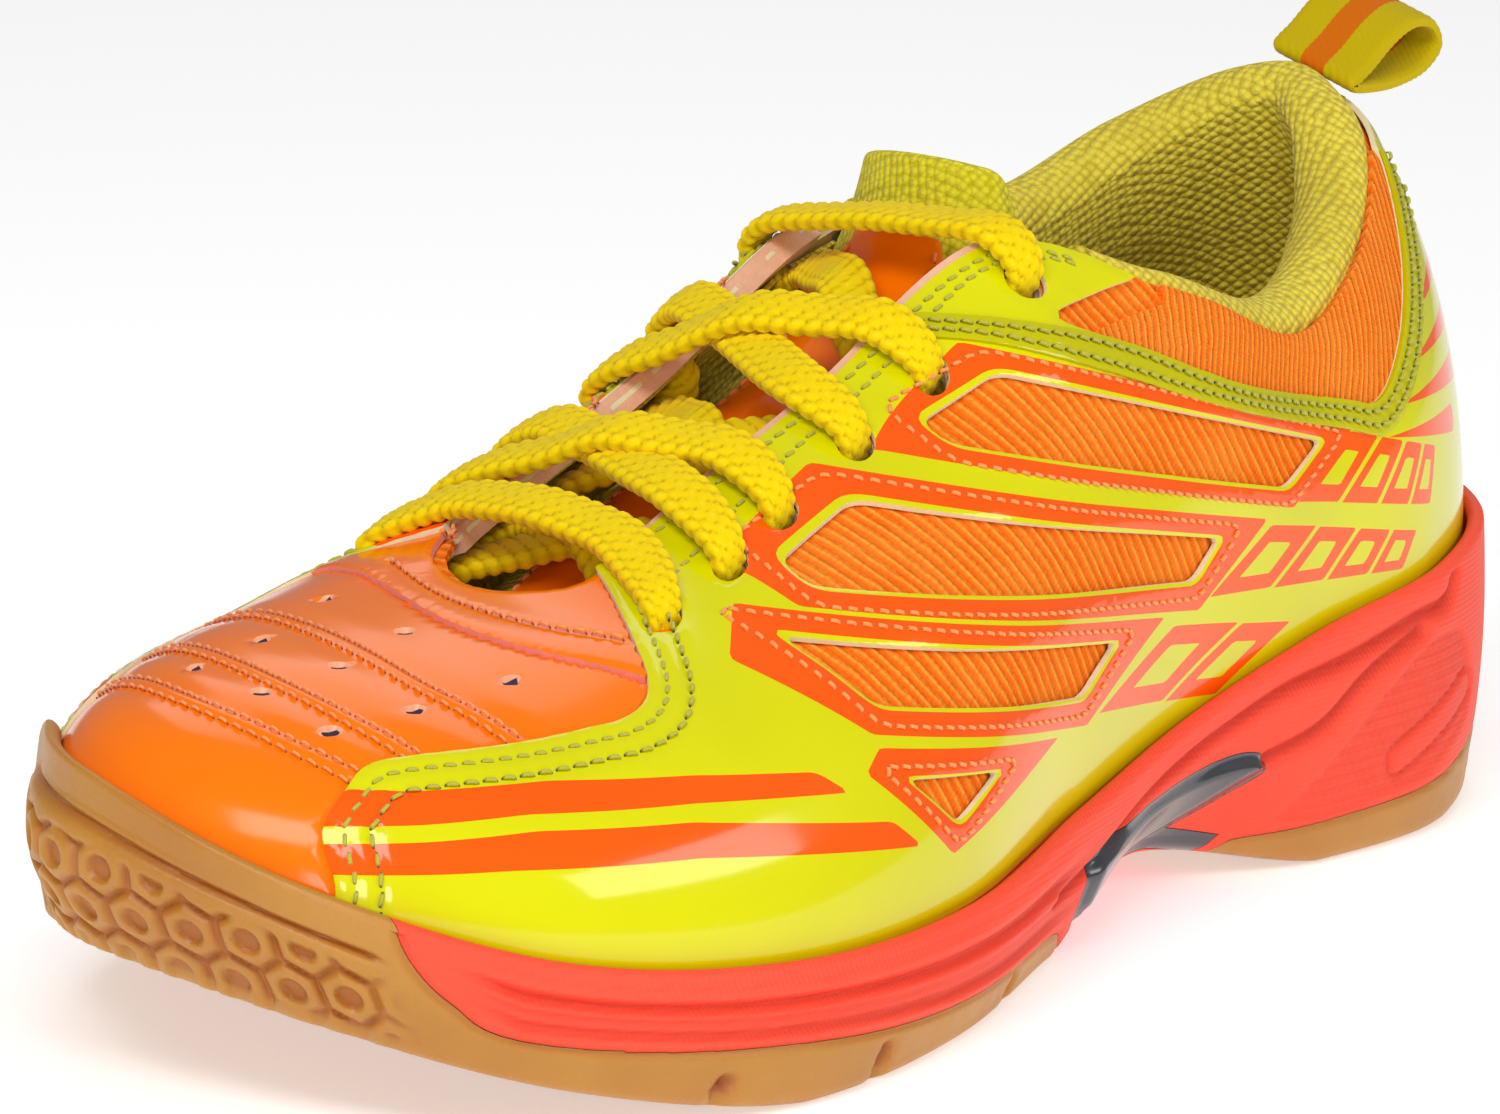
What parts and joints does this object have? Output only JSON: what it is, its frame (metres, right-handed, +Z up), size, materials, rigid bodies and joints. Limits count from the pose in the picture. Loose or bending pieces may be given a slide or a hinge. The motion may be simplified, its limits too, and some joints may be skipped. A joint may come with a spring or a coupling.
{
  "type": "court shoe",
  "caption": "Low-cut indoor court shoe with a laced padded tongue, padded collar, heel pull tab, foam midsole and gum rubber outsole.",
  "frame": {"origin": "on the ground under the middle of the shoe's bounding box", "axes": "+X towards the heel, -X towards the toe, -Y to the outer (lateral) side, +Z up"},
  "size_m": [0.282, 0.1149, 0.1236],
  "materials": {
    "gum_rubber": "fine-grained gum rubber, slightly translucent",
    "midsole_foam": "moulded foam with fine lines",
    "shank_plastic": "smooth dark plate",
    "board": "stitched non-woven board",
    "sockliner_foam": "fabric-topped foam",
    "upper_mesh": "ribbed mesh with small holes",
    "stiffener": "thermoplastic sheet",
    "eyestay_film": "clear reinforcing film",
    "lining_knit": "spacer knit",
    "pad_foam": "open-cell foam",
    "orange_patent": "glossy coated synthetic leather",
    "yellow_patent": "glossy fluorescent synthetic leather",
    "lace_braid": "flat tubular braid",
    "aglet_film": "clear heat-shrunk film",
    "webbing": "woven webbing with a centre stripe"
  },
  "bodies": {
    "shoe": {"outsole_forefoot": "gum_rubber", "outsole_heel": "gum_rubber", "shank": "shank_plastic", "midsole": "midsole_foam", "strobel_board": "board", "sockliner": "sockliner_foam", "mesh_lateral": "upper_mesh", "mesh_medial": "upper_mesh", "mesh_vamp": "upper_mesh", "toe_puff": "stiffener", "heel_counter": "stiffener", "eyestay_backing_lateral": "eyestay_film", "eyestay_backing_medial": "eyestay_film", "vamp_lining": "lining_knit", "collar_lining": "lining_knit", "collar_foam": "pad_foam", "vamp": "orange_patent", "throat_overlay": "orange_patent", "ankle_panel_lateral": "yellow_patent", "quarter_lateral": "yellow_patent", "ankle_panel_medial": "yellow_patent", "quarter_medial": "yellow_patent", "heel_strip": "yellow_patent", "lace": "lace_braid", "aglet_lateral": "aglet_film", "aglet_medial": "aglet_film"},
    "tongue": {"tongue_face": "orange_patent", "tongue_foam": "pad_foam", "tongue_lining": "lining_knit"},
    "pull_tab": {"pull_tab": "webbing"}
  },
  "joints": [
    {"name": "tongue_press", "type": "hinge", "parent": "shoe", "child": "tongue", "pos_m": [-0.0808, 0.006, 0.0435], "axis": [0, 1, 0], "range_deg": [0, 10], "stiffness_Nm_per_rad": 0.5},
    {"name": "pull_tab_flex", "type": "hinge", "parent": "shoe", "child": "pull_tab", "pos_m": [0.1182, 0.009, 0.1085], "axis": [0, 0.9553, 0.2955], "range_deg": [-40, 25], "stiffness_Nm_per_rad": 0.02}
  ]
}
